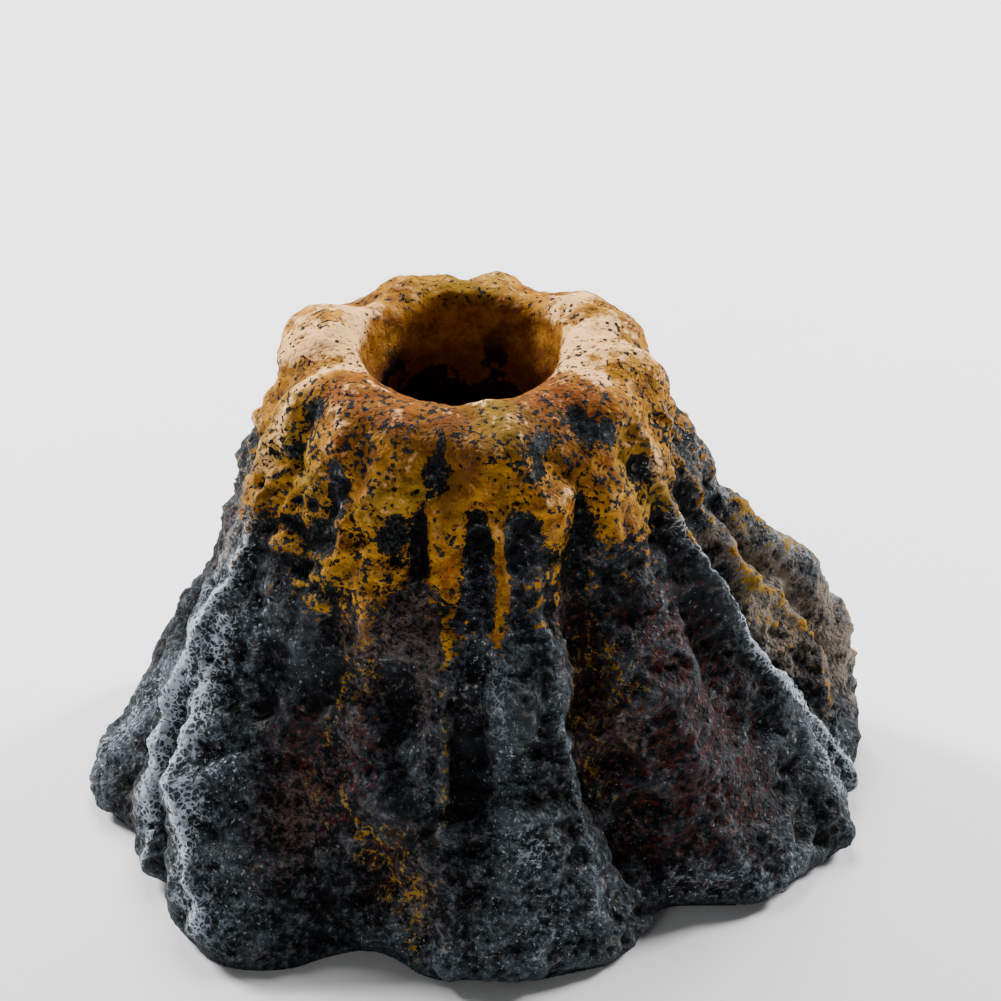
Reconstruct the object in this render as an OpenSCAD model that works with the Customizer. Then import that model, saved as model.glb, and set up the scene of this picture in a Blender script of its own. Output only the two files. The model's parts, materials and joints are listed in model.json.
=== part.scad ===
// Bubbling ornament: a hollow cast-resin volcano that stands over an upright air unit.
// Millimetres, +Z up. The origin is the middle of the footprint, on the surface it stands on.
// The front is -Y. The air hose comes in through the arched notch in the rear foot.

/* [Volcano shell] */
// Width of the foot, left to right
foot_w = 76; // [74:1:80]
// Depth of the foot, front to back
foot_d = 66; // [64:1:70]
// Height of the highest point of the crater rim
shell_h = 50; // [49.5:0.5:53]
// Offset of the crater's axis from the middle of the foot, to the right
crater_x = -1; // [-2:0.5:2]
// Offset of the crater's axis from the middle of the foot, to the back
crater_y = 1; // [-1:0.5:2]
// Radius of the throat below the crater's mouth
throat_r = 8.6; // [8.4:0.1:9]
// Radius of the open underside
hollow_r = 27; // [26:0.5:27.5]

/* [Hose notch] */
// Width of the arched notch in the rear foot
notch_w = 9; // [8:0.5:10]

/* [Air unit] */
// Height of the air inlet's centreline
inlet_z = 10; // [9.5:0.5:10.5]
// Outer radius of the air spigots, for hose of 4 mm bore
spigot_r = 2.25; // [2.15:0.05:2.35]
// Radius of the air passages
passage_r = 1.3; // [1:0.1:1.4]
// Radius of the porous stone
stone_r = 7; // [6.5:0.1:7.1]
// Length of the porous stone
stone_len = 13.5; // [11:0.5:14]
// Radius of the suction cup
cup_r = 11; // [10:0.5:11.5]

/* [Hidden] */
$fn = 64;
cut = 1; // how far a cutter runs past the face it opens

// ---- rock form, in polar terms round the crater's axis; angle 270 is the front ----

columns = 96; // meridians round the shell
side_rows = 24; // rows from the foot to the shoulder
rim_rows = 4; // rows on each half of the rounded rim
shoulder_drop = 4.2; // from the rim's top to where the flank takes over
lip_drop = 1.8; // from the rim's top to the throat's first row
crest_share = 0.3; // place of the rim's top between mouth and flank

// Mean radius of the flank at each height
FLANK = [[0, 32.6], [0.8, 33.6], [2.5, 34], [5, 33], [10, 30.8], [20, 26.6], [30, 22.2], [40, 19],
         [46, 17.2], [52, 15]];

// Ridges (positive reach) and grooves (negative reach), each followed from the foot up.
// [bluntness, [[height, angle, reach, half width in degrees], ...]]; bluntness 1 is a sharp crest.
FOLDS = [
    // left side lobe
    [2, [[0, 181, 2.4, 16], [7, 181, 0.6, 16], [12, 180, -0.8, 16], [16, 178, -2.8, 18],
         [26, 176, -1, 18], [36, 176, -0.1, 18], [46, 176, 0, 18]]],
    [2, [[0, 200, -0.4, 9], [15, 197, -1.4, 9], [30, 194, -1.6, 9], [42, 192, -1, 8]]],
    // front-left ridge: a thin outer crest and a blunt one before it, parted by a slit
    [1, [[0, 212, 0.8, 7], [8, 207, 1.6, 7], [18, 204, 3, 9], [30, 207, 3.4, 10], [42, 203, 1.6, 9]]],
    [2, [[0, 214, -0.8, 5], [10, 211, -1.2, 5], [16, 210, -0.8, 5], [22, 211, 0, 5]]],
    [2, [[0, 234, 5, 15], [6, 229, 4.6, 15], [12, 221, 3.6, 14], [22, 215, 2.2, 12],
         [32, 216, 1.2, 11], [44, 214, 0.5, 10]]],
    [2, [[0, 254, -3, 10], [10, 250, -2, 10], [20, 241, -1.6, 9], [30, 240, -1, 8], [40, 236, -0.5, 8]]],
    [2, [[12, 257, 0, 6], [20, 256, -1.8, 6], [25, 255, -1.8, 6], [31, 256, 0, 6]]],
    // front lobe between two thin ribs
    [1, [[0, 266, 0.6, 6], [10, 266, 0.9, 6], [20, 267, 1.1, 6], [28, 266, 0.5, 6], [34, 264, 0, 6]]],
    [2, [[10, 273, 0, 6], [18, 272, -1.4, 6], [25, 272, -1.5, 6], [31, 273, 0, 6]]],
    [2, [[0, 281, 1, 13], [8, 281, 1.8, 12], [16, 280, 1.5, 10], [26, 281, 0.9, 9], [36, 280, 0.5, 9]]],
    [1, [[0, 292, 0.8, 6], [10, 291, 1.5, 6], [22, 290, 1.8, 6], [30, 289, 0.7, 6], [36, 288, 0, 6]]],
    // deep groove and the notch in the foot below it
    [2, [[0, 310, -4, 13], [8, 305, -3.6, 11], [16, 300, -3.4, 9], [26, 298, -2.8, 8],
         [34, 300, -1.2, 8], [42, 302, -0.6, 8]]],
    // broad right face and its sharp crest
    [2, [[0, 322, 1.6, 12], [10, 320, 1.2, 14], [20, 318, 1.3, 13], [30, 318, 1, 12], [40, 318, 0.5, 10]]],
    [1, [[0, 342, 6.2, 26], [8, 344, 5.6, 20], [20, 341, 3.6, 13], [30, 337, 2.8, 12],
         [40, 335, 1.6, 10], [46, 334, 0.6, 9]]],
    // right side: a small lobe and the big shoulder behind it
    [2, [[0, 359, 2, 8], [10, 358, 3.2, 8], [18, 356, 4, 8], [26, 353, 2.6, 8], [34, 350, 1.2, 8]]],
    [2, [[0, 373, 5, 20], [8, 373, 7.6, 20], [14, 373, 9.2, 19], [20, 372, 8.8, 17], [26, 371, 5.4, 15],
         [33, 369, 2.6, 13], [40, 368, 0.7, 12], [46, 368, 0, 12]]],
    // rear: the hose notch lies in the valley at 91 degrees
    [2, [[0, 33, -1, 8], [12, 33, -2, 8], [26, 32, -1.2, 8], [40, 31, -0.6, 8]]],
    [2, [[0, 48, 2.2, 13], [12, 48, 2.4, 13], [24, 50, 1.8, 12], [38, 52, 0.8, 10]]],
    [2, [[0, 62, -1.2, 8], [14, 62, -1.6, 8], [28, 63, -1, 8], [40, 63, -0.4, 8]]],
    [2, [[0, 74, 2.6, 12], [12, 74, 2.4, 12], [24, 74, 1.6, 11], [38, 75, 0.8, 10]]],
    [2, [[0, 91, -1.4, 11], [14, 91, -1.2, 10], [28, 90, -0.8, 9], [40, 90, -0.4, 8]]],
    [1, [[0, 108, 3, 14], [10, 108, 2.8, 13], [22, 109, 2.4, 12], [36, 110, 1, 11]]],
    [2, [[0, 127, -1.4, 9], [14, 127, -1.8, 9], [28, 127, -1, 8], [40, 127, -0.4, 8]]],
    [2, [[0, 146, 2.8, 14], [10, 146, 2, 13], [16, 147, 1, 12], [26, 149, 0.6, 11], [38, 152, 0, 10]]],
];

// Height of the rim's top round the crater
RIM = [[0, 49.6], [30, 49.8], [60, 49.2], [95, 50], [130, 49.3], [165, 49.6], [190, 49.4], [215, 49],
       [245, 48.6], [262, 48.2], [278, 49.2], [294, 48.2], [318, 48.8], [340, 49.4], [360, 49.6]];
// Radius of the crater's mouth
MOUTH = [[0, 8.9], [45, 9.3], [90, 9.7], [135, 9.3], [180, 9], [225, 9.3], [270, 9.3], [315, 9.2],
         [360, 8.9]];
// Radius of the hollow under the shell as a share of hollow_r, against height
HOLLOW = [[0, 1], [8, 0.91], [15, 0.72], [22, 0.48], [27, 0.35], [30, 0.32]];
hollow_heights = [30, 27, 22, 15, 8, 0];
throat_heights = [38, 34];

function wrap(a) = abs((a + 540) % 360 - 180);
function track(fold, z, i) = lookup(z, [for (p = fold[1]) [p[0], p[i]]]);
function fold_at(fold, a, z) =
    let (share = wrap(a - track(fold, z, 1)) / track(fold, z, 3))
    share < 1 ? track(fold, z, 2) * pow(1 - pow(share, fold[0]), 1.5) : 0;
function sum(list, i = 0, total = 0) = i < len(list) ? sum(list, i + 1, total + list[i]) : total;
function flank_r(a, z) = lookup(z, FLANK) + sum([for (f = FOLDS) fold_at(f, a, z)]);

// One meridian as [radius, height]: up the flank, over the rim, down the throat and the hollow
function meridian(a) =
    let (top = lookup(a, RIM), mouth = lookup(a, MOUTH), edge_z = top - shoulder_drop,
         edge = flank_r(a, edge_z), crest = mouth + crest_share * (edge - mouth))
    concat(
        [for (i = [0 : side_rows]) let (z = edge_z * i / side_rows) [flank_r(a, z), z]],
        [for (i = [1 : rim_rows]) let (t = 90 * i / rim_rows)
            [crest + (edge - crest) * cos(t), edge_z + shoulder_drop * sin(t)]],
        [for (i = [1 : rim_rows]) let (t = 90 * i / rim_rows)
            [crest - (crest - mouth) * sin(t), top - lip_drop * (1 - cos(t))]],
        [for (z = throat_heights) [throat_r, z]],
        [for (z = hollow_heights) [hollow_r * lookup(z, HOLLOW), z]]);

RAW = [for (i = [0 : columns - 1]) meridian(360 * i / columns)];
FOOT = [for (i = [0 : columns - 1]) for (p = RAW[i]) let (a = 360 * i / columns)
        [p[0] * cos(a), p[0] * sin(a)]];
raw_left = min([for (p = FOOT) p[0]]);
raw_right = max([for (p = FOOT) p[0]]);
raw_front = min([for (p = FOOT) p[1]]);
raw_back = max([for (p = FOOT) p[1]]);
raw_top = max([for (m = RAW) for (p = m) p[1]]);

// The foot is stretched to its stated width and depth, less and less towards the round crater
foot_rows = 4; // rows that take the whole stretch
function stretch(v, share, low, high, centre, size) =
    v * (1 + share * ((v < 0 ? (-size / 2 - centre) / low : (size / 2 - centre) / high) - 1));
function place(p, a, row) =
    let (x = p[0] * cos(a), y = p[0] * sin(a),
         share = min(1, max(0, (side_rows - row) / (side_rows - foot_rows))))
    [crater_x + stretch(x, share, raw_left, raw_right, crater_x, foot_w),
     crater_y + stretch(y, share, raw_front, raw_back, crater_y, foot_d),
     p[1] * (row > side_rows + 2 * rim_rows ? 1 : shell_h / raw_top)];

rows = len(RAW[0]);
POINTS = [for (i = [0 : columns - 1]) for (j = [0 : rows - 1]) place(RAW[i][j], 360 * i / columns, j)];
function corner(i, j) = (i % columns) * rows + j % rows;
FACES = [for (i = [0 : columns - 1]) for (j = [0 : rows - 1])
    each [[corner(i, j), corner(i, j + 1), corner(i + 1, j)],
          [corner(i + 1, j), corner(i, j + 1), corner(i + 1, j + 1)]]];

module volcano_shell() {
    color([0.25, 0.25, 0.27])
    difference() {
        polyhedron(POINTS, FACES, convexity = 10);
        translate([crater_x, crater_y, inlet_z]) {
            rotate([-90, 0, 0]) cylinder(r = notch_w / 2, h = foot_d);
            translate([-notch_w / 2, 0, -inlet_z - cut]) cube([notch_w, foot_d, inlet_z + cut]);
        }
    }
}

// ---- air unit, round the crater's axis ----

spigot_top = 17.6; // top of the elbow's upright spigot
inlet_y = 21.4; // tip of the elbow's inlet spigot, behind the axis
sleeve_z = 14.4; // lower end of the coupling sleeve
sleeve_len = 8.2;
sleeve_wall = 1.3;
nipple_z = 18; // lower end of the stone cap's nipple
nipple_gap = 0.05; // running clearance of the nipple in the sleeve
cap_z = 22.9; // underside of the stone cap
cap_floor = 1.1;
cap_wall = 0.6;
cap_h = 3.6;
stub_r = 1.9; // stub of the cap inside the stone
stub_len = 6;
stone_bore = 8; // depth of the stone's blind bore
cup_y = 8; // suction cup's axis, behind the crater's
neck_r = 2.2; // neck of the suction cup's knob
neck_z = 3.6;
knob_r = 3.1;
knob_z = 5; // underside of the knob's head
knob_h = 1.4;
clip_w = 8.6;
clip_len = 6;
clip_wall = 1.5; // thickness of the clip's jaws
clip_gap = 0.1; // clearance between clip and knob
mouth_angle = 50; // half angle of the clip's open jaws, from straight up
collar_r = 3.1;
collar_h = 0.9;

module on_axis() { translate([crater_x, crater_y, 0]) children(); }
module along_y(r, y0, y1) { translate([0, y0, inlet_z]) rotate([-90, 0, 0]) cylinder(r = r, h = y1 - y0); }

module air_stone() {
    bevel = 0.8;
    z0 = cap_z + cap_floor;
    color([0.55, 0.56, 0.58])
    on_axis() difference() {
        rotate_extrude() polygon([[0, z0], [stone_r, z0], [stone_r, z0 + stone_len - bevel],
                                  [stone_r - bevel, z0 + stone_len], [0, z0 + stone_len]]);
        translate([0, 0, z0 - cut]) cylinder(r = stub_r, h = stone_bore + cut);
    }
}

module stone_cap() {
    nipple_r = spigot_r - nipple_gap;
    color([0.85, 0.87, 0.88])
    on_axis() difference() {
        union() {
            translate([0, 0, nipple_z]) cylinder(r = nipple_r, h = cap_z - nipple_z + cap_floor / 2);
            translate([0, 0, cap_z]) cylinder(r = stone_r + cap_wall, h = cap_h);
        }
        difference() {
            translate([0, 0, cap_z + cap_floor]) cylinder(r = stone_r, h = cap_h);
            translate([0, 0, cap_z]) cylinder(r = stub_r, h = cap_floor + stub_len);
        }
        translate([0, 0, nipple_z - cut]) cylinder(r = passage_r, h = stub_len + cap_h + cap_z);
    }
    color([0.85, 0.87, 0.88])
    on_axis() difference() {
        translate([0, 0, cap_z + cap_floor / 2]) cylinder(r = stub_r, h = cap_floor / 2 + stub_len);
        translate([0, 0, cap_z - cut]) cylinder(r = passage_r, h = cap_h + stub_len);
    }
}

module coupling_sleeve() {
    color([0.8, 0.85, 0.87])
    on_axis() translate([0, 0, sleeve_z]) difference() {
        cylinder(r = spigot_r + sleeve_wall, h = sleeve_len);
        translate([0, 0, -cut]) cylinder(r = spigot_r, h = sleeve_len + 2 * cut);
    }
}

module elbow_fitting() {
    collar_y = 12.2;
    collar_z = sleeve_z - collar_h;
    knee_r = 2.9;
    color([0.15, 0.15, 0.16])
    on_axis() difference() {
        union() {
            translate([0, 0, inlet_z]) cylinder(r = spigot_r, h = spigot_top - inlet_z);
            translate([0, 0, inlet_z]) sphere(r = knee_r);
            along_y(spigot_r, 0, inlet_y);
            along_y(collar_r, collar_y - collar_h, collar_y);
            translate([0, 0, collar_z]) cylinder(r = collar_r, h = collar_h);
        }
        translate([0, 0, inlet_z]) cylinder(r = passage_r, h = spigot_top);
        along_y(passage_r, 0, inlet_y + cut);
    }
}

module tube_clip() {
    plate_z = neck_z + clip_gap;
    block_top = inlet_z - spigot_r;
    jaw_r = spigot_r + clip_wall;
    slot_h = knob_z - plate_z + cut;
    color([0.12, 0.12, 0.13])
    on_axis() translate([0, cup_y, 0]) difference() {
        union() {
            translate([-clip_w / 2, -clip_len / 2, plate_z])
                cube([clip_w, clip_len, block_top - plate_z]);
            along_y(jaw_r, -clip_len / 2, clip_len / 2);
        }
        along_y(spigot_r, -clip_len, clip_len);
        // open jaws
        translate([0, 0, inlet_z]) rotate([90, 0, 0])
            linear_extrude(height = 2 * clip_len, center = true)
                polygon([[0, 0], [-2 * jaw_r * sin(mouth_angle), 2 * jaw_r * cos(mouth_angle)],
                         [2 * jaw_r * sin(mouth_angle), 2 * jaw_r * cos(mouth_angle)]]);
        // keyhole slot that slides over the knob from the front
        translate([0, 0, plate_z - cut]) cylinder(r = neck_r + clip_gap, h = slot_h + cut);
        translate([-neck_r - clip_gap, -clip_len, plate_z - cut])
            cube([2 * (neck_r + clip_gap), clip_len, slot_h + cut]);
        translate([0, 0, knob_z - clip_gap]) cylinder(r = knob_r + clip_gap, h = knob_h + 2 * clip_gap);
        translate([-knob_r - clip_gap, -clip_len, knob_z - clip_gap])
            cube([2 * (knob_r + clip_gap), clip_len, knob_h + 2 * clip_gap]);
    }
}

module suction_cup() {
    rim_w = 0.9;
    edge_h = 0.7;
    hollow_h = 2.1;
    color([0.75, 0.8, 0.82])
    on_axis() translate([0, cup_y, 0]) rotate_extrude()
        polygon([[0, hollow_h], [cup_r * 0.35, hollow_h - 0.2], [cup_r * 0.7, hollow_h * 0.5],
                 [cup_r - rim_w, 0], [cup_r, 0], [cup_r, edge_h], [cup_r * 0.72, 1.9],
                 [cup_r * 0.42, 3.1], [neck_r + 0.4, neck_z], [neck_r, neck_z + 0.2], [neck_r, knob_z],
                 [knob_r, knob_z], [knob_r, knob_z + knob_h * 0.4], [knob_r * 0.6, knob_z + knob_h],
                 [0, knob_z + knob_h]]);
}

volcano_shell();
air_stone();
stone_cap();
coupling_sleeve();
elbow_fitting();
tube_clip();
suction_cup();
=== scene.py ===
"""Bubbling ornament: a painted resin volcano over its air unit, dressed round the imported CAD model."""

import json
import math

import bmesh
import bpy
import numpy as np
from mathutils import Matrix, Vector

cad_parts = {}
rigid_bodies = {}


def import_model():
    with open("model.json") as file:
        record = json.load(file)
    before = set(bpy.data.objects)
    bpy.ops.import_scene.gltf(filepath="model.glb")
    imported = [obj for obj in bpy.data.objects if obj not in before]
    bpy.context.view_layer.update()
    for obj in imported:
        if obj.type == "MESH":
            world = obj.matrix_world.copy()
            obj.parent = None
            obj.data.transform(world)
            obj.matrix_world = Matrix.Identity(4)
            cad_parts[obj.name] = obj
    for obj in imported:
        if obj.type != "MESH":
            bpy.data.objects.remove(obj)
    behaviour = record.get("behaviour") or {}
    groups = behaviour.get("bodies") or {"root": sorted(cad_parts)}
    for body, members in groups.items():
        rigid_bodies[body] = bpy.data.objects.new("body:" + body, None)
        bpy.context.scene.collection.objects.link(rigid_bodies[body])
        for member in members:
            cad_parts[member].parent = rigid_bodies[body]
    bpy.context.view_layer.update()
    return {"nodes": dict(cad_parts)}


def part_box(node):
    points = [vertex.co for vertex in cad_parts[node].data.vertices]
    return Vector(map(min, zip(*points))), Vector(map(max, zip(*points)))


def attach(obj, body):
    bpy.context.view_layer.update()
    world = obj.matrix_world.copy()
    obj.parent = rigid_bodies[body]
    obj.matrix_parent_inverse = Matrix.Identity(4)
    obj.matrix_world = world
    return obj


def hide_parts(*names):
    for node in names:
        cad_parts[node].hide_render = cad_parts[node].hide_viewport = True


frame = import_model()

MM = 0.001
NODES = frame["nodes"]
SHELL_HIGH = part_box("volcano_shell")[1]
STONE_LOW, STONE_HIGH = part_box("air_stone")
CRATER = (STONE_LOW + STONE_HIGH) / 2  # the crater's axis is the stone's
TOP_Z = SHELL_HIGH.z / MM

# ---------------------------------------------------------------- camera and light

VIEW_ELEVATION = math.radians(31)
VIEW_DISTANCE = 0.335
VIEW_CENTRE = Vector((0, 0, 0.024))  # the camera stands VIEW_DISTANCE from here
LOOK_AT = Vector((0.0023, 0.0038, 0.0303))
FIELD_OF_VIEW = math.radians(16.28)

LIGHTS_AIM = Vector((0, 0, 0.03))
# Area lights: name, place, energy, size
LIGHTS = [
    ("key_back_left", (-0.42, 0.26, 0.34), 7.5, 0.14),
    ("key_back_right", (0.44, 0.24, 0.30), 6.5, 0.14),
    ("top", (-0.04, 0.30, 0.55), 4.2, 0.3),
    ("front_fill", (-0.2, -0.5, 0.3), 0.4, 0.2),
]
WORLD_COLOUR = (0.97, 0.98, 1, 1)
AMBIENT_STRENGTH = 0.08
BACKDROP_STRENGTH = 1.25  # what the camera sees behind the floor


def make_camera():
    data = bpy.data.cameras.new("photo_camera")
    data.lens_unit = "FOV"
    data.angle = FIELD_OF_VIEW
    data.clip_start = 0.01
    camera = bpy.data.objects.new("photo_camera", data)
    bpy.context.scene.collection.objects.link(camera)
    away = Vector((0, -math.cos(VIEW_ELEVATION), math.sin(VIEW_ELEVATION)))
    camera.location = VIEW_CENTRE + VIEW_DISTANCE * away
    camera.rotation_euler = (LOOK_AT - camera.location).to_track_quat("-Z", "Y").to_euler()
    bpy.context.scene.camera = camera


def make_light(name, place, energy, size):
    data = bpy.data.lights.new(name, "AREA")
    data.energy = energy
    data.size = size
    light = bpy.data.objects.new(name, data)
    bpy.context.scene.collection.objects.link(light)
    light.location = place
    light.rotation_euler = (LIGHTS_AIM - light.location).to_track_quat("-Z", "Y").to_euler()


def make_studio():
    """Area lights from behind and above, and a world that is brighter to the camera than as light."""
    for light in LIGHTS:
        make_light(*light)
    world = bpy.data.worlds.new("studio")
    world.use_nodes = True
    tree = world.node_tree
    ambient = tree.nodes["Background"]
    backdrop = tree.nodes.new("ShaderNodeBackground")
    for background, strength in ((ambient, AMBIENT_STRENGTH), (backdrop, BACKDROP_STRENGTH)):
        background.inputs["Color"].default_value = WORLD_COLOUR
        background.inputs["Strength"].default_value = strength
    seen = tree.nodes.new("ShaderNodeLightPath").outputs["Is Camera Ray"]
    both = tree.nodes.new("ShaderNodeMixShader")
    for source, target in ((seen, 0), (ambient.outputs[0], 1), (backdrop.outputs[0], 2)):
        tree.links.new(source, both.inputs[target])
    tree.links.new(both.outputs[0], tree.nodes["World Output"].inputs["Surface"])
    bpy.context.scene.world = world


# ---------------------------------------------------------------- noise on arrays of points


# Mixing numbers of the hash behind the noise
HASH_AXES = (73856093, 19349663, 83492791)
HASH_SEED = 40503
HASH_MIX = (2246822519, 3266489917)
HASH_KEEP = 0xFFFFFFFF
HASH_READ = 0xFFFFFF


def lattice(cell, seed):
    """A fixed pseudo-random number from 0 to 1 for each whole-number cell."""
    h = (cell[:, 0] * HASH_AXES[0]) ^ (cell[:, 1] * HASH_AXES[1]) ^ (cell[:, 2] * HASH_AXES[2])
    h = (h + seed * HASH_SEED) & HASH_KEEP
    h = ((h ^ (h >> 15)) * HASH_MIX[0]) & HASH_KEEP
    h = ((h ^ (h >> 13)) * HASH_MIX[1]) & HASH_KEEP
    return ((h ^ (h >> 16)) & HASH_READ) / float(HASH_READ)


def noise_at(points, seed=0):
    """Smooth noise from -1 to 1; one cell of the noise is one unit."""
    cell = np.floor(points).astype(np.int64)
    part = points - cell
    part = part ** 3 * (part * (part * 6 - 15) + 10)
    total = np.zeros(len(points))
    for corner in np.ndindex(2, 2, 2):
        weight = np.prod(np.where(corner, part, 1 - part), axis=1)
        total += weight * lattice(cell + np.array(corner), seed)
    return total * 2 - 1


def layered_noise(points, octaves, seed=0):
    """The noise with finer and fainter copies of itself on top."""
    total = np.zeros(len(points))
    for octave in range(octaves):
        total += noise_at(points * 2 ** octave, seed + octave) / 2 ** octave
    return total


def cells_at(points, seed=0):
    """Distance to the nearest and second nearest scattered point, and a number for the nearest."""
    base = np.floor(points).astype(np.int64)
    near = np.full(len(points), 9.0)
    second = near.copy()
    tag = np.zeros(len(points))
    for step in np.ndindex(3, 3, 3):
        cell = base + np.array(step) - 1
        place = cell + np.stack([lattice(cell, seed + k) for k in (1, 2, 3)], axis=1)
        gap = np.linalg.norm(place - points, axis=1)
        closer = gap < near
        second = np.where(closer, near, np.minimum(second, gap))
        tag = np.where(closer, lattice(cell, seed + 4), tag)
        near = np.where(closer, gap, near)
    return near, second, tag


def smooth_step(low, high, value):
    """0 at low and 1 at high, smoothly; low may be the larger."""
    share = np.clip((value - low) / (high - low), 0, 1)
    return share * share * (3 - 2 * share)


# ---------------------------------------------------------------- mesh helpers


def copy_of_node(node, name):
    """A welded copy of a CAD node, as a new object."""
    mesh = NODES[node].data.copy()
    mesh.name = name
    mesh.materials.clear()
    bm = bmesh.new()
    bm.from_mesh(mesh)
    bmesh.ops.remove_doubles(bm, verts=bm.verts, dist=0.002 * MM)
    bm.to_mesh(mesh)
    bm.free()
    piece = bpy.data.objects.new(name, mesh)
    bpy.context.scene.collection.objects.link(piece)
    return piece


def apply_modifiers(piece):
    """Swaps the piece's mesh for its modified one."""
    graph = bpy.context.evaluated_depsgraph_get()
    mesh = bpy.data.meshes.new_from_object(piece.evaluated_get(graph))
    old = piece.data
    piece.modifiers.clear()
    piece.data = mesh
    bpy.data.meshes.remove(old)


def voxel_copy(node, name, voxel):
    """A copy of a CAD node remeshed into small even faces."""
    piece = copy_of_node(node, name)
    remesh = piece.modifiers.new("remesh", "REMESH")
    remesh.mode = "VOXEL"
    remesh.voxel_size = voxel
    apply_modifiers(piece)
    return piece


def get_points(mesh):
    points = np.empty(len(mesh.vertices) * 3)
    mesh.vertices.foreach_get("co", points)
    return points.reshape(-1, 3)


def set_points(mesh, points):
    mesh.vertices.foreach_set("co", points.ravel())
    mesh.update()


def shade_smooth(mesh):
    mesh.polygons.foreach_set("use_smooth", np.ones(len(mesh.polygons), dtype=bool))
    mesh.update()


def get_normals(mesh):
    normals = np.empty(len(mesh.vertices) * 3)
    mesh.vertex_normals.foreach_get("vector", normals)
    return normals.reshape(-1, 3)


def get_edges(mesh):
    edges = np.empty(len(mesh.edges) * 2, dtype=np.int32)
    mesh.edges.foreach_get("vertices", edges)
    return edges.reshape(-1, 2)


def relaxed(values, edges, rounds, amount=0.5):
    """The values (one row per vertex) after each has moved towards its neighbours' mean."""
    a, b = edges[:, 0], edges[:, 1]
    count = np.bincount(edges.ravel(), minlength=len(values))[:, None]
    for _ in range(rounds):
        around = [np.bincount(a, column[b], len(column)) + np.bincount(b, column[a], len(column))
                  for column in values.T]
        values = values + amount * (np.stack(around, axis=1) / count - values)
    return values


def store(mesh, name, values):
    """Keeps one number per vertex, for the material to read."""
    mesh.attributes.new(name, "FLOAT", "POINT").data.foreach_set("value", values.astype(np.float32))


# ---------------------------------------------------------------- the rock's form

ROCK_VOXEL = 0.32 * MM
ROCK_SMOOTHING = 12  # rounds, before the relief is pushed in
FOOT_HELD = 0.4 * MM  # vertices below this keep their height through the smoothing
FOOT_FLAT = 0.25 * MM  # vertices below this end up on the floor
OVER_TOP = 0.3 * MM  # the most that the rim may rise past the CAD shell
BASE_BLEND = (0.2, 1.6)  # heights, in mm, over which relief fades out above the flat foot
THROAT_TOP = TOP_Z - 9  # below this the hollow keeps its size, so that the stone passes
RIM_Z = TOP_Z - 3
INNER_RADII = (27.5, 26.8)  # nothing past these, in mm, belongs to the hollow
# Noises of the relief: their cells' sizes in mm, and how much each moves the surface, in mm
LUMP_SIZE, KNOB_SIZE, CRAG_SIZE, FINE_SIZE = 8, 3.2, 4.5, 0.95
CRAG_SQUASH = np.array([1, 1, 1.6])  # crags are wider than high
FLUTES_ROUND, FLUTE_HEIGHT = 7, 13  # flutes run down the flank: cells on the circle's radius, height
LUMPS, KNOBS, CRAGS, FLUTES, FINE, HOLLOW_KNOBS = 0.55, 0.48, 0.75, 0.5, 0.1, 0.3
PITS = [(2.6, 0.6, 0.6, 41), (1.5, 0.8, 0.4, 51), (0.95, 1.1, 0.3, 61)]  # size, share, depth, seed
FLANK_TOP, FLANK_GAIN = 36, 1.3  # bumps and dents below this height are that much deeper
# Stored measures of how far a vertex is sunk: name, rounds of smoothing it is measured against
SUNKEN = [("cavity", 4), ("hollowness", 50), ("valley", 300)]

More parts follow.
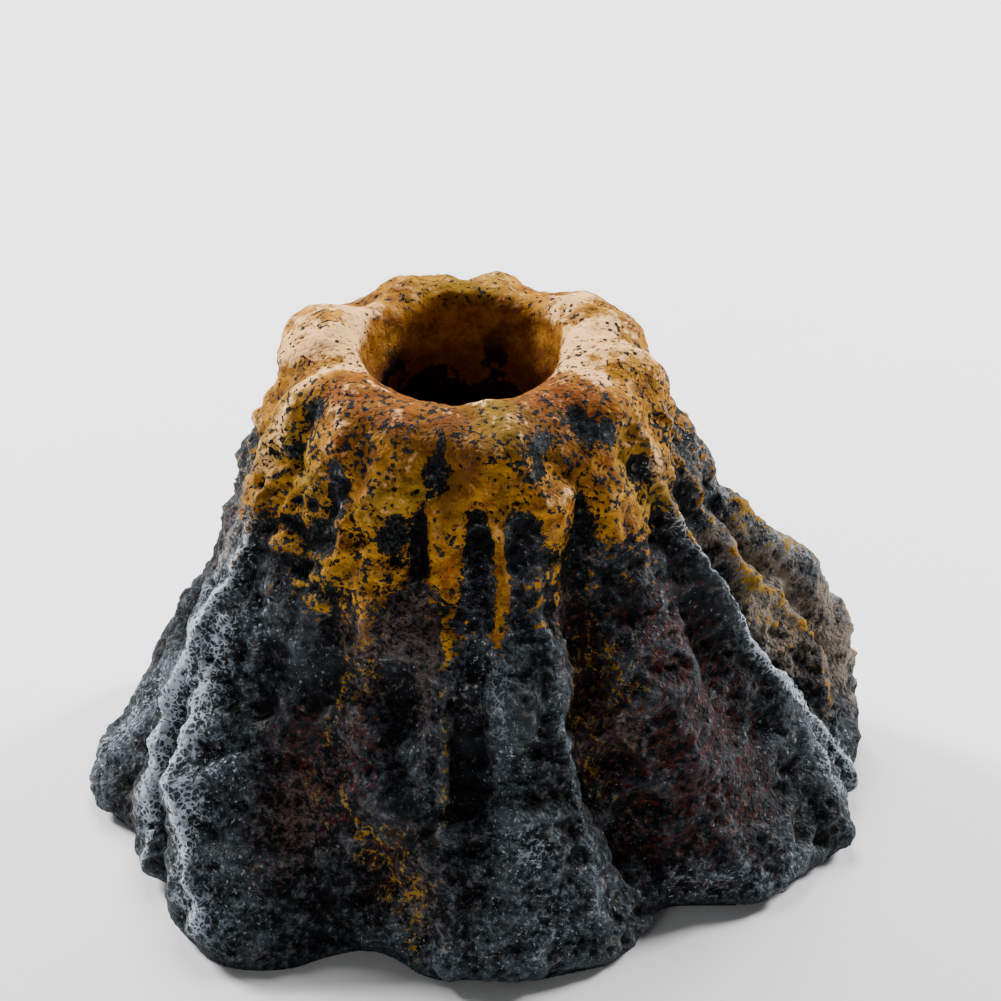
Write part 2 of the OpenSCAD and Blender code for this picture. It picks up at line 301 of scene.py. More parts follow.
# Bumps and dents: angle round the crater, height, half width, half height and push, in mm
RELIEF = [
    # the rim, from the front round to the left, the back and the right
    (276, 49, 3, 2, -0.7), (262, 48, 1.6, 1.6, 0.7), (255, 49, 2, 1.5, -0.5), (246, 48.5, 2.4, 1.8, 0.5),
    (231, 46, 1.8, 2.4, 0.9), (222, 48.5, 2.4, 1.8, 0.7), (216, 45.5, 1.2, 3, -0.9), (209, 47, 1.5, 2.5, 0.7),
    (196, 49, 2, 2, -0.7), (184, 49, 3, 2.6, 0.9), (165, 48, 4, 3, 0.9), (140, 49, 3, 2, -0.6),
    (118, 50, 3, 2, 0.6), (90, 50, 1.3, 2, -0.7), (78, 50, 2, 2, 0.3), (60, 50, 3, 2.4, -0.7),
    (38, 49, 3, 3, 0.7), (20, 48, 3, 3, 0.8), (4, 48, 2, 3, -0.7), (350, 47, 2.6, 3, 0.6),
    (334, 47.5, 1.6, 3, -0.8), (322, 47.5, 3, 2, 0.8), (310, 46, 1.8, 2, -0.6), (300, 48.5, 2.4, 1.6, 0.6),
    (288, 48.5, 1.6, 1.6, 0.4),
    # below the rim
    (262, 45, 2.4, 2.2, -0.7), (272, 44.5, 1.6, 3, 0.6), (252, 43, 2.6, 3, 0.4), (232, 41, 1.2, 3.4, -0.8),
    (225, 42, 2, 3, 0.5), (240, 40, 2, 5, 0.5), (250, 38.5, 1.2, 2, -0.6), (257.5, 38, 0.8, 3.4, -1.5),
    (265.5, 38, 1.5, 4.5, 0.7), (274, 37.5, 1.5, 4, -0.7), (279, 39, 0.8, 4, 0.4), (285, 39, 1.6, 3, -0.6),
    (290, 45, 2.2, 2.4, 0.5), (295, 45, 1.6, 1.6, -0.6), (297, 41, 2, 3, 0.5), (305, 39.5, 0.9, 3, -1.1),
    (312, 41, 2.4, 3.4, 0.6), (326, 40.5, 1.8, 1.8, -0.6), (220, 39.3, 0.8, 0.7, -0.7),
    (225, 39.5, 0.7, 0.7, -0.7), (220, 37.5, 0.9, 0.8, -0.8), (229, 36, 2, 2.4, -0.5),
    # hollows and pits of the front
    (249, 25.5, 1.9, 2.4, -1), (255, 24.5, 1.7, 2.4, -1), (270, 20.5, 1.9, 5, -1.2), (233, 24, 2.4, 2, -0.8),
    (237, 17, 3.4, 2.4, -0.9), (226, 21, 1.4, 1.6, -0.9), (222, 17, 1.3, 1.4, -0.8), (240, 12, 2.6, 3, -0.6),
    (250, 18, 2.2, 2, -0.6), (253, 8, 3, 2.4, -0.5), (297, 15.5, 1.4, 1.7, -1.1), (304, 16, 1.2, 1.5, -1.1),
    (307, 12, 1.4, 1.4, -0.9), (300, 26, 1.6, 5, -1), (303, 7, 2, 4, -0.8), (278, 24, 3, 3.4, 0.7),
    (281, 12, 4.4, 5, 0.9), (282, 18, 1.8, 1.8, -0.5), (274, 30, 3.4, 1.8, 0.5), (316, 22, 3.4, 5, 0.5),
    (322, 14, 4, 4, 0.6), (314, 9, 3, 3, -0.4), (328, 22, 1.6, 4, -0.7), (209, 9.5, 1.1, 5, -1.2),
    (213, 14, 0.9, 3, -0.8), (204, 6, 1.8, 3, 0.5), (226, 5, 4, 3.4, 0.7), (219, 12.5, 2.2, 3.4, 0.8),
]
# Lines followed down the flank: [height, angle], from the top
PATHS = {
    "right_crest": [[45, 329], [40, 330], [36, 334], [31, 336], [26, 337.5], [22, 339.5], [17, 343],
                    [12, 350], [7, 353], [2, 355]],
    "crest_back": [[38, 339], [31, 343], [26, 345], [20, 347]],
    "lobe_edge": [[43, 342], [34, 347.5], [29, 348.5], [25.5, 351], [22, 358], [18.5, 359.5], [15.5, 358.5],
                  [11, 355]],
    "lobe_back": [[34, 353], [28, 359], [22, 365], [14, 364], [8, 361]],
    "back_edge": [[38, 363], [29, 367], [22, 371], [16, 371], [8, 370]],
    "left_crest": [[40, 211], [35, 209], [31, 210], [27, 208.5], [23, 208], [18, 204.5], [13, 206], [8, 207],
                   [3, 210]],
    "inner_crest": [[27, 213], [20, 214], [15, 217], [10, 223], [5, 230]],
    "crest_slit": [[19, 209], [14, 211], [9, 213], [4, 215]],
    "left_groove": [[33, 195], [24, 194], [15, 193], [6, 194]],
    "left_rib": [[33, 264], [29, 265.5], [25, 264.8], [21, 266], [15, 266]],
    "right_rib": [[32, 288], [27, 290], [21, 289], [14, 291.5], [6, 291]],
    "front_groove": [[37, 302], [30, 301], [24, 300.5], [16, 302], [9, 305], [3, 310]],
    "streak": [[35, 238.5], [30, 240], [26, 241], [22, 241.5], [19, 239.5], [16, 238], [12, 242]],
    "low_vein": [[15, 246], [12, 250], [10, 252], [8, 257.5], [5, 260]],
    "front_vein": [[12, 259], [9, 261], [6, 262.5], [2, 261]],
    "drip": [[43, 276], [39, 278.5], [35, 279], [31, 277]],
}
# Crests and grooves: path, half width and push, in mm
FOLLOWED = [
    ("right_crest", 0.8, 1), ("crest_back", 1.5, -1.1), ("lobe_edge", 1.2, 1.1), ("lobe_back", 1.6, -1.4),
    ("back_edge", 1.6, 0.7), ("left_crest", 0.9, 0.9), ("inner_crest", 1, 0.8), ("crest_slit", 1.1, -1.2),
    ("left_groove", 1.3, -0.9), ("left_rib", 0.55, 0.5), ("right_rib", 0.7, 0.6), ("front_groove", 1.3, -1.3),
    ("streak", 1.2, 0.4), ("drip", 0.5, 0.3),
]


class Rock:
    """Where each vertex of the rock lies, round the crater's axis, in mm and degrees."""

    def __init__(self, points, normals):
        self.mm = points / MM
        self.x = self.mm[:, 0] - CRATER.x / MM
        self.y = self.mm[:, 1] - CRATER.y / MM
        self.z = self.mm[:, 2]
        self.radius = np.hypot(self.x, self.y)
        self.angle = np.degrees(np.arctan2(self.y, self.x)) % 360
        outward = np.stack([self.x, self.y], axis=1) / np.maximum(self.radius, 0.1)[:, None]
        facing = (normals[:, :2] * outward).sum(axis=1)
        self.rim = smooth_step(THROAT_TOP, RIM_Z, self.z)
        self.inside = smooth_step(0.15, -0.25, facing) * smooth_step(*INNER_RADII, self.radius)
        self.hollow = self.inside * (1 - self.rim)

    def across(self, angle):
        """Distance round the rock from an angle, in mm."""
        return np.radians((self.angle - angle + 180) % 360 - 180) * self.radius

    def spot(self, angle, height, half_width, half_height):
        """1 at a place on the flank, fading to 0 round it."""
        return np.exp(-(self.across(angle) / half_width) ** 2 - ((self.z - height) / half_height) ** 2)

    def line(self, path, half_width, fade=3.0):
        """1 along a path down the flank, fading to 0 beside it and past its ends."""
        heights, angles = np.array(PATHS[path][::-1]).T
        across = self.across(np.interp(self.z, heights, angles)) / half_width
        ends = smooth_step(heights[0] - fade, heights[0], self.z)
        ends = ends * smooth_step(heights[-1] + fade, heights[-1], self.z)
        return np.exp(-np.abs(across) ** 1.4) * ends


def pitted(rock, size, share, depth, seed):
    """Round pits of many depths, in clumps."""
    warp = np.stack([noise_at(rock.mm / size, seed + k) for k in range(3)], axis=1)
    near, _, tag = cells_at(rock.mm / size + 0.25 * warp, seed)
    clump = smooth_step(-0.35, 0.35, noise_at(rock.mm / (size * 4), seed + 5))
    return depth * smooth_step(0.55, 0.1, near) * smooth_step(share, share - 0.4, tag) * (0.3 + 0.7 * clump)


def rock_relief(rock):
    """How far each vertex moves along its normal, in mm."""
    radius = np.maximum(rock.radius, 1)
    flank = [rock.x / radius * FLUTES_ROUND, rock.y / radius * FLUTES_ROUND, rock.z / FLUTE_HEIGHT]
    flutes = layered_noise(np.stack(flank, axis=1), 2, 11)
    lumps = layered_noise(rock.mm / LUMP_SIZE, 2, 21)
    knobs = layered_noise(rock.mm / KNOB_SIZE, 2, 31)
    crags = 0.5 - np.abs(layered_noise(rock.mm * CRAG_SQUASH / CRAG_SIZE, 3, 71))
    fine = layered_noise(rock.mm / FINE_SIZE, 2, 81)
    calm = 1 - 0.65 * rock.rim
    outside = 1 - rock.inside
    push = LUMPS * lumps + (KNOBS * knobs + CRAGS * crags) * calm + FINE * fine
    push += FLUTES * flutes * (1 - rock.rim) * outside
    for pits in PITS:
        push -= pitted(rock, *pits) * (1 - 0.75 * rock.inside) * calm
    for angle, height, half_width, half_height, amount in RELIEF:
        gain = FLANK_GAIN if height < FLANK_TOP else 1
        push += gain * amount * rock.spot(angle, height, half_width, half_height) * outside
    for path, half_width, amount in FOLLOWED:
        push += amount * rock.line(path, half_width) * outside
    above_foot = smooth_step(*BASE_BLEND, rock.z)
    return (push * (1 - rock.hollow) + HOLLOW_KNOBS * knobs * rock.hollow) * above_foot


def make_rock():
    """The shell remeshed, carved and with its paints' places stored."""
    piece = voxel_copy("volcano_shell", "volcano_rock", ROCK_VOXEL)
    mesh = piece.data
    edges = get_edges(mesh)
    points = get_points(mesh)
    smoothed = relaxed(points, edges, ROCK_SMOOTHING)
    smoothed[:, 2] = np.where(points[:, 2] < FOOT_HELD, points[:, 2], smoothed[:, 2])
    set_points(mesh, smoothed)
    normals = get_normals(mesh)
    moved = smoothed + normals * (rock_relief(Rock(smoothed, normals)) * MM)[:, None]
    moved[:, 2] = np.clip(moved[:, 2], 0, SHELL_HIGH.z + OVER_TOP)
    moved[:, 2] = np.where(moved[:, 2] < FOOT_FLAT, 0, moved[:, 2])
    set_points(mesh, moved)
    normals = get_normals(mesh)
    for name, rounds in SUNKEN:
        store(mesh, name, ((relaxed(moved, edges, rounds) - moved) * normals).sum(axis=1) / MM)
    paint_masks(mesh, Rock(moved, normals))
    shade_smooth(mesh)
    return piece


# ---------------------------------------------------------------- where the rock's paints go

# Lower edge of the ochre paint round the crater: angle, height in mm
OCHRE_EDGE = [(0, 42), (14, 40), (24, 36), (32, 42), (44, 39), (54, 33.5), (62, 41), (72, 38.5), (80, 34),
              (88, 41.5), (98, 40), (108, 34.5), (116, 41), (128, 38), (138, 33.5), (146, 41), (156, 38.5),
              (170, 42), (190, 41), (203, 39), (212, 38), (220, 36.5), (228, 36), (236, 34.5), (243, 33.5),
              (249, 34), (254, 35.5), (257, 37), (262, 35.5), (265.5, 34.5), (269, 36), (272, 41),
              (276, 41.5), (278.5, 37), (281, 40), (285, 41), (292, 38), (298, 37), (303, 38.5),
              (308, 38.5), (314, 37.2), (322, 37), (328, 37), (334, 38.5), (345, 42), (360, 42)]
# Bare dark patches in the ochre: angle, height, half width, half height
BARE = [(231, 43, 1.1, 2), (233.5, 40.5, 1, 2), (229, 37, 2.2, 2), (261, 44.2, 1.3, 2),
        (262.5, 46.8, 0.5, 1), (250, 38.7, 1.5, 2.3), (257.5, 38.2, 0.9, 3), (273.5, 38.4, 1.7, 3.4),
        (284, 40, 1.9, 2), (285, 38, 1.7, 2.2), (294.5, 46.3, 1.7, 1.2), (290, 44.3, 1.2, 0.9),
        (310, 46.4, 1.1, 1.8), (317, 45.8, 1, 1.5), (304.5, 39.3, 0.9, 2.6), (326, 41, 1.6, 1.6),
        (216, 46.8, 1.2, 1.5), (213, 43, 1, 1), (220, 39.3, 0.7, 0.6), (225, 39.5, 0.6, 0.6),
        (220, 37.5, 0.8, 0.7), (110, 42, 2, 3), (60, 42, 2, 3), (20, 44, 2, 2), (150, 43, 2, 2),
        (85, 44, 1.6, 2), (350, 43, 2, 2.4)]
# Red-brown and mauve washes, and patches of yellow veins: angle, height, half width, half height
RED = [(238, 14, 4, 7), (233, 19, 2.4, 3), (256, 10, 4, 6), (248, 20, 2.4, 5), (312, 12, 7, 12),
       (328, 14, 6, 9), (320, 26, 6, 8), (298, 24, 3, 9), (200, 4, 3, 3), (60, 12, 6, 9), (120, 16, 5, 10),
       (30, 20, 5, 8), (150, 20, 4, 8)]
MAUVE = [(238, 13, 4, 6), (262, 8, 3, 5), (243, 30, 3, 4), (252, 31, 4, 3.4), (261, 30, 3, 3.4),
         (246, 22, 1.5, 4), (261, 24, 1.2, 5), (296, 30, 2.4, 4), (304, 19, 2, 4), (110, 28, 7, 5),
         (45, 28, 6, 5), (180, 30, 4, 8)]
VEINS = [(259, 8, 3, 3), (252, 12, 2, 2.5), (246, 27, 1.2, 5), (300, 15, 1.6, 4), (296, 22, 1.4, 4),
         (305, 25, 1.4, 4), (353, 23, 2, 3), (75, 10, 4, 5), (130, 9, 4, 5), (30, 12, 3, 5)]
# Tan and brown-grey paint on the lobes at the right and the back: as above
TAN = [(356, 22, 3, 6), (6, 20, 6, 10), (14, 14, 7, 11), (350, 30, 2, 3), (48, 12, 3, 6), (187, 32, 3, 7)]
# Smooth dark hollows that the grey and the speckles miss: angle, height, half width, half height
SMOOTH = [(249, 25, 1.7, 2.6), (255.5, 24.5, 1.6, 2.4), (234, 24, 3, 3.4), (236, 18, 1.5, 2.4),
          (270, 20.5, 1.8, 4.5), (281, 25, 1.4, 2.6), (297, 15.5, 1.3, 1.6), (304, 16, 1.2, 1.5),
          (300, 26, 1.4, 4), (257, 14, 2.4, 2.4), (330, 28, 3, 4)]
# Grey dry-brushing: strength, then angle, height, half width, half height
DUST = [(0.62, 208, 22, 2, 12), (0.6, 216, 20, 2.2, 5), (0.7, 222, 12, 2.8, 6), (0.55, 230, 5, 5, 4),
        (0.5, 205, 10, 2, 8), (0.42, 218, 28, 2.6, 4), (0.52, 281, 13, 3, 3), (0.42, 278, 23, 3, 5),
        (0.45, 283, 6, 4.5, 4), (0.35, 275, 28, 3, 3), (0.55, 345, 9, 3, 5), (0.45, 350, 4, 4, 4),
        (0.6, 182, 8, 5, 8), (0.5, 188, 26, 3, 10), (0.3, 10, 26, 5, 10), (0.5, 75, 14, 3, 14),
        (0.5, 108, 14, 3, 14), (0.5, 146, 12, 3, 12), (0.5, 48, 12, 3, 12), (0.3, 313, 4, 5, 3),
        (0.35, 262, 3, 8, 2.4), (0.35, 325, 3, 8, 2.4)]
# Dry-brushing, veins, ochre and tan along paths: strength, path, half width
DUST_LINES = [(1, "right_crest", 0.8), (0.7, "left_crest", 0.6), (0.6, "inner_crest", 0.6),
              (0.35, "right_rib", 0.6), (0.3, "back_edge", 1.2)]
VEIN_LINES = [(0.8, "streak", 0.6), (1, "low_vein", 0.5), (1, "front_vein", 0.6), (0.9, "left_rib", 0.4)]
OCHRE_LINES = [(0.22, "lobe_edge", 1), (0.16, "back_edge", 1.6), (0.6, "drip", 0.5), (0.18, "streak", 0.8)]
TAN_LINES = [(0.7, "lobe_edge", 0.6), (0.5, "back_edge", 0.9)]
# Thin ochre below the edge: strength, then angle, height, half width, half height
OCHRE_SPOTS = [(0.3, 352, 24, 2, 2), (0.3, 356, 19, 2, 3), (0.2, 6, 28, 3, 4), (0.25, 190, 33, 1.6, 4),
               (0.25, 265, 31, 4, 1.6), (0.3, 284, 34, 4, 2), (0.2, 300, 32, 5, 2), (0.3, 228, 32, 3, 2)]
# Swarms of black specks in the ochre: angle, height, half width, half height
SPECKS = [(228, 46.5, 6, 2.6), (214, 43, 4, 5), (245, 47.5, 4, 1.4), (290, 45.5, 4, 2), (308, 46.5, 6, 3),
          (322, 42, 5, 4), (232, 38, 6, 3), (250, 37, 5, 3), (306, 40, 5, 3), (344, 42, 4, 6),
          (60, 42, 8, 4), (130, 42, 8, 4), (20, 44, 6, 3), (170, 44, 5, 4), (95, 46, 5, 3)]
# Tones within the ochre, and places of a painted highlight: as above
RUST = [(231, 46, 1.8, 1.6), (222, 48.8, 3, 1.6), (246, 48, 2.4, 1.2), (320, 48, 2.6, 1.6),
        (304, 48, 2, 1.4), (299, 39.5, 1.6, 2.6), (265.5, 36.8, 1.2, 1.8), (290, 43, 1.4, 2),
        (312, 43.5, 1.6, 2), (60, 46, 4, 3), (150, 47, 4, 3), (20, 46, 3, 3), (100, 45, 4, 3)]
OLIVE = [(208, 43, 3, 3), (222, 41, 2, 2), (246, 41, 2.4, 2), (256, 42.5, 2, 2), (283, 48, 2, 1.6),
         (322, 42, 2, 3), (330, 38, 2, 3), (95, 40, 4, 3), (35, 41, 4, 3), (354, 24, 5, 8), (8, 24, 5, 8),
         (190, 33, 4, 6), (228, 33, 5, 3), (90, 49, 4, 2)]
# Places of a light orange painted highlight on the rim's tops and a few crests
PAINTED_HIGHLIGHT_SPOTS = [(188, 49.5, 2.4, 1.6), (202, 48.5, 1.4, 1.2), (172, 48.5, 2.6, 1.8), (207, 45, 0.8, 3),
         (208, 41, 0.6, 3), (230, 49.6, 1.4, 0.5), (250, 48.9, 2, 0.4), (275, 48.9, 2, 0.5),
         (330, 43, 0.6, 4), (350, 49.5, 2.4, 1.6), (8, 49.5, 2.4, 1.4), (331, 49, 1.4, 1),
         (35, 49.6, 2, 1.2), (150, 49.5, 2.4, 1)]
UMBER = [(236, 48.7, 5, 1.4), (254, 48.7, 5, 1.4), (273, 48.3, 5, 1.4), (292, 48.3, 5, 1.4),
         (310, 48.3, 5, 1.4), (256, 47, 2.4, 1.6), (270, 46, 2, 3), (266, 43, 1.4, 2), (238, 45, 2, 2),
         (304, 45, 2, 3), (285, 47, 2, 1.4), (120, 44, 3, 3), (45, 45, 3, 3)]


def paint_masks(mesh, rock):
    """Stores the broad place of each paint; the material's own noise breaks up the edges."""
    def spots(places):
        return sum(rock.spot(*place) for place in places)

    def weighted(places, lines):
        marks = sum(strength * rock.spot(*place) for strength, *place in places)
        return marks + sum(strength * rock.line(path, width) for strength, path, width in lines)

    angles, heights = zip(*OCHRE_EDGE)
    above = rock.z - np.interp(rock.angle, angles, heights)
    ochre = smooth_step(-4.5, 3, above) ** 1.4 + 0.16 * smooth_step(-9, -2, above)
    ochre *= 1 - np.clip(spots(BARE), 0, 1) * (1 - rock.inside)
    smooth = np.clip(spots(SMOOTH), 0, 1)
    masks = {
        "ochre": ochre + weighted(OCHRE_SPOTS, OCHRE_LINES),
        "smooth": smooth,
        "dust": weighted(DUST, DUST_LINES) * (1 - smooth),
        "vein": spots(VEINS) + weighted([], VEIN_LINES),
        "red": spots(RED),
        "mauve": spots(MAUVE),
        "tan": spots(TAN) + weighted([], TAN_LINES),
        "rust": spots(RUST),
        "olive": spots(OLIVE),
        "umber": spots(UMBER),
        "specks": spots(SPECKS),
        "painted_highlight": spots(PAINTED_HIGHLIGHT_SPOTS),
        "inside": rock.inside,
    }
    for name, values in masks.items():
        store(mesh, name, np.clip(values, 0, 1))


# ---------------------------------------------------------------- material helpers


class Nodes:
    """Builds a material's nodes; positions are the object's own, in mm."""

    def __init__(self, name):
        self.material = bpy.data.materials.new(name)
        self.material.use_nodes = True
        self.tree = self.material.node_tree
        self.shader = self.tree.nodes["Principled BSDF"]
        where = self.add("ShaderNodeTexCoord").outputs["Object"]
        self.place = self.vector("MULTIPLY", where, (1 / MM,) * 3)

    def add(self, kind, inputs=(), **settings):
        """A new node with its inputs fed, by name or number, and its settings set."""
        node = self.tree.nodes.new(kind)
        for key, value in settings.items():
            setattr(node, key, value)
        for key, value in dict(inputs).items():
            self.feed(node.inputs[key], value)
        return node

    def feed(self, socket, value):
        """Links a socket to another, or sets its value."""
        if isinstance(value, bpy.types.NodeSocket):
            self.tree.links.new(value, socket)
        elif isinstance(value, tuple) and len(value) == 3 and socket.type == "RGBA":
            socket.default_value = (*value, 1)
        else:
            socket.default_value = value

    def vector(self, operation, a, b):
        return self.add("ShaderNodeVectorMath", {0: a, 1: b}, operation=operation).outputs[0]

    def dot(self, a, b):
        return self.add("ShaderNodeVectorMath", {0: a, 1: b}, operation="DOT_PRODUCT").outputs[1]

    def math(self, operation, a, b=0.0, c=0.0):
        return self.add("ShaderNodeMath", {0: a, 1: b, 2: c}, operation=operation).outputs[0]

    def times(self, a, b):
        return self.math("MULTIPLY", a, b)

    def rest(self, value):
        """What value leaves of 1."""
        return self.math("SUBTRACT", 1.0, value)

    def total(self, start, *parts):
        """A number plus each value times its factor."""
        for value, factor in parts:
            start = self.math("MULTIPLY_ADD", value, factor, start)
        return start

    def step(self, value, low, high):
        """0 below low and 1 above high, smoothly; low may be the larger."""
        inputs = {"Value": value, "From Min": low, "From Max": high}
        if low > high:
            inputs = {"Value": value, "From Min": high, "From Max": low, "To Min": 1.0, "To Max": 0.0}
        return self.add("ShaderNodeMapRange", inputs, interpolation_type="SMOOTHSTEP").outputs[0]

    def mix(self, share, a, b):
        """Colour a where share is 0, colour b where it is 1."""
        colours = {0: share, 6: a, 7: b}  # a Mix node's sockets for colours come after those for numbers
        return self.add("ShaderNodeMix", colours, data_type="RGBA").outputs[2]

    def paint(self, under, paint, share, most):
        """A paint over what is under it; most is how much the paint hides where share is 1."""
        return self.mix(self.times(share, most), under, paint)

    def noise(self, size, detail=3.0, roughness=0.55, place=None, offset=0.0):
        """Noise of about this size in mm, from 0 to 1; the offset makes it another noise."""
        where = self.vector("ADD", place or self.place, (offset,) * 3)
        inputs = {"Vector": where, "Scale": 1 / size, "Detail": detail, "Roughness": roughness}
        return self.add("ShaderNodeTexNoise", inputs).outputs[0]

    def warped(self, size, amount):
        """The place, moved about by noise."""
        node = self.add("ShaderNodeTexNoise", {"Vector": self.place, "Scale": 1 / size, "Detail": 2.0})
        moved = self.vector("SUBTRACT", node.outputs[1], (0.5,) * 3)
        return self.vector("ADD", self.place, self.vector("MULTIPLY", moved, (2 * amount,) * 3))

    def cells(self, size, place=None, feature="F1"):
        """Distance to scattered points this far apart in mm, as a share of that size."""
        inputs = {"Vector": place or self.place, "Scale": 1 / size}
        return self.add("ShaderNodeTexVoronoi", inputs, feature=feature).outputs["Distance"]

    def speckle(self, amount, grain, soft):
        """Covers about this share of the surface, broken up by a grain from 0 to 1."""
        return self.step(self.math("ADD", amount, grain), 1.0 - soft, 1.0 + soft)

    def attribute(self, name):
        return self.add("ShaderNodeAttribute", attribute_name=name).outputs["Fac"]

    def bump(self, height, depth, strength=1.0):
        node = self.add("ShaderNodeBump", {"Height": height, "Distance": depth, "Strength": strength})
        self.feed(self.shader.inputs["Normal"], node.outputs[0])

    def finish(self, colour, roughness, **values):
        """The material; further values are shader inputs, with _ for each space in a name."""
        self.feed(self.shader.inputs["Base Color"], colour)
        self.feed(self.shader.inputs["Roughness"], roughness)
        for name, value in values.items():
            self.shader.inputs[name.replace("_", " ")].default_value = value
        return self.material


# The rock's colours, linear
COAL, SLATE, SMOOTH_COAL = (0.002, 0.0024, 0.0029), (0.038, 0.048, 0.056), (0.007, 0.0095, 0.011)
RED_BROWN, DUSKY_MAUVE, TAN_GREY = (0.055, 0.011, 0.008), (0.085, 0.055, 0.048), (0.21, 0.162, 0.12)
THIN_DUST, THICK_DUST, WARM_DUST = (0.11, 0.145, 0.17), (0.46, 0.53, 0.6), (0.6, 0.47, 0.33)
SPARK, VEIN_YELLOW, UNDER_OCHRE = (0.45, 0.5, 0.55), (0.3, 0.165, 0.008), (0.004, 0.0042, 0.0046)
DARK_GOLD, BRIGHT_GOLD = (0.14, 0.05, 0.0015), (0.44, 0.195, 0.008)
DEEP_UMBER, DULL_OLIVE, RUST_RED = (0.09, 0.026, 0.0012), (0.2, 0.125, 0.006), (0.23, 0.05, 0.002)
# a light orange painted highlight for the rim's tops
PAINTED_HIGHLIGHT_CREAM = (0.85, 0.48, 0.19)
# The throat's deep colour is painted shade and its black is painted shadow, down in the crater
DARK_THROAT, BRIGHT_THROAT, THROAT_PAINTED_SHADE = (0.13, 0.04, 0.002), (0.27, 0.105, 0.006), (0.085, 0.018, 0.0015)
# the last of these is a dark wash with painted shade, for the small pits
THROAT_PAINTED_SHADOW, BARE_RESIN, PIT_WASH_AND_SHADE = (0.003, 0.0025, 0.0025), (0.02, 0.021, 0.023), (0.0015, 0.0015, 0.002)
# Axes, per mm, along which the red washes are stretched
STREAK_AXES = ((-1.2, -1.1, 2.2), (0.4, 0.35, 0.4), (0.65, -0.75, 0))
ROCK_BUMP = 0.28 * MM


def rock_paint():
    """Charcoal rock with dry-brushed crests, red and mauve washes, veins and an ochre crater."""
    n = Nodes("painted_rock")

    def wash(under, paint, mask, amount, marks, soft, most):
        """A paint over its stored mask, broken up by marks."""
        return n.paint(under, paint, n.speckle(n.times(n.attribute(mask), amount), marks, soft), most)

    warp = n.warped(1.1, 0.5)
    stipple = n.step(n.noise(0.4, 3.0, 0.6), 0.3, 0.7)
    grain = n.step(n.noise(0.7, 4.0, 0.7, offset=7.0), 0.32, 0.68)
    clump = n.step(n.noise(2.4, 3.0, 0.6, offset=2.0), 0.34, 0.66)
    broad = n.step(n.noise(7.0, 3.0, 0.6, offset=12.0), 0.4, 0.6)
    cells = n.cells(0.62, warp)
    net = n.step(n.cells(0.62, warp, "DISTANCE_TO_EDGE"), 0.2, 0.0)
    cavity = n.attribute("cavity")
    valley = n.attribute("valley")
    hollowness = n.attribute("hollowness")
    high = n.add("ShaderNodeSeparateXYZ", {0: n.place}).outputs[2]
    ochre_area = n.attribute("ochre")
    smooth_area = n.attribute("smooth")
    rough_area = n.rest(smooth_area)

    # charcoal, from black to blue slate at random, and black in the hollows: a dark wash there, deepened as
    # painted shade
    dust = n.attribute("dust")
    slate = n.total(0.1, (broad, 0.25), (clump, 0.3), (dust, 0.6), (hollowness, -0.9))
    colour = n.mix(n.speckle(slate, grain, 0.45), COAL, SLATE)
    colour = n.paint(colour, SMOOTH_COAL, smooth_area, 0.7)

    # washes
    slanted = dict(enumerate(n.dot(n.place, axis) for axis in STREAK_AXES))
    slanted = n.add("ShaderNodeCombineXYZ", slanted).outputs[0]
    streaks = n.step(n.noise(1.1, 4.0, 0.7, place=slanted, offset=3.0), 0.34, 0.66)
    colour = wash(colour, RED_BROWN, "red", 0.42, n.total(0.0, (grain, 0.4), (streaks, 0.6)), 0.12, 0.85)
    colour = wash(colour, DUSKY_MAUVE, "mauve", 0.55, n.total(0.0, (grain, 0.5), (stipple, 0.5)), 0.2, 0.8)
    colour = wash(colour, TAN_GREY, "tan", 0.6, n.total(0.0, (grain, 0.5), (clump, 0.5)), 0.3, 0.85)

    # grey dry-brushing catches what stands proud
    share = n.total(0.25, (dust, 0.4))
    lit = n.total(grain, (n.math("SUBTRACT", net, grain), share))
    form = n.total(0.0, (valley, -0.1), (cavity, -2.2), (hollowness, -0.6))
    form = n.math("MINIMUM", form, 0.32)
    reach = n.total(n.times(dust, 0.5), (form, n.total(0.3, (dust, 0.7))))
    reach = n.times(reach, rough_area)
    pale = n.mix(n.step(dust, 0.3, 0.85), THIN_DUST, THICK_DUST)
    pale = n.mix(n.step(high, TOP_Z - 18, TOP_Z - 12), pale, WARM_DUST)
    colour = n.paint(colour, pale, n.speckle(reach, lit, 0.2), 0.88)
    sparks = n.speckle(n.total(-0.08, (broad, 0.08), (dust, 0.2)), stipple, 0.1)
    colour = n.paint(colour, SPARK, sparks, 0.8)

    # thin yellow veins that meander between the lumps
    wander = n.math("ABSOLUTE", n.math("SUBTRACT", n.noise(1.7, 3.0, 0.6, offset=5.0), 0.5))
    threads = n.total(0.0, (grain, 0.55), (n.step(wander, 0.05, 0.0), 0.45))
    colour = wash(colour, VEIN_YELLOW, "vein", 0.45, threads, 0.15, 0.85)

    # where the ochre goes: round the crater, with round dark specks left out
    colour = n.paint(colour, UNDER_OCHRE, n.step(ochre_area, 0.1, 0.6), 0.75)
    dots = n.times(n.step(n.cells(1.05, n.warped(0.9, 0.25)), 0.27, 0.17),
                   n.step(n.noise(1.9, 2.0, 0.5, offset=11.0), 0.47, 0.53))
    flecks = n.step(n.noise(0.55, 2.0, 0.5, offset=13.0), 0.3, 0.7)
    swarm = n.step(n.noise(3.0, 2.0, 0.5, offset=9.0), 0.45, 0.65)
    swarm = n.total(-0.03, (swarm, 0.2), (n.attribute("specks"), 0.26))
    dots = n.math("MAXIMUM", dots, n.speckle(swarm, flecks, 0.06))
    broken = n.total(0.0, (flecks, 0.45), (clump, 0.2), (grain, 0.35))
    cover = n.total(0.0, (ochre_area, 0.95), (cavity, -1.6), (hollowness, -0.3))
    ochre = n.times(n.speckle(cover, broken, 0.05), n.step(ochre_area, 0.01, 0.1))
    ochre = n.times(ochre, n.rest(dots))
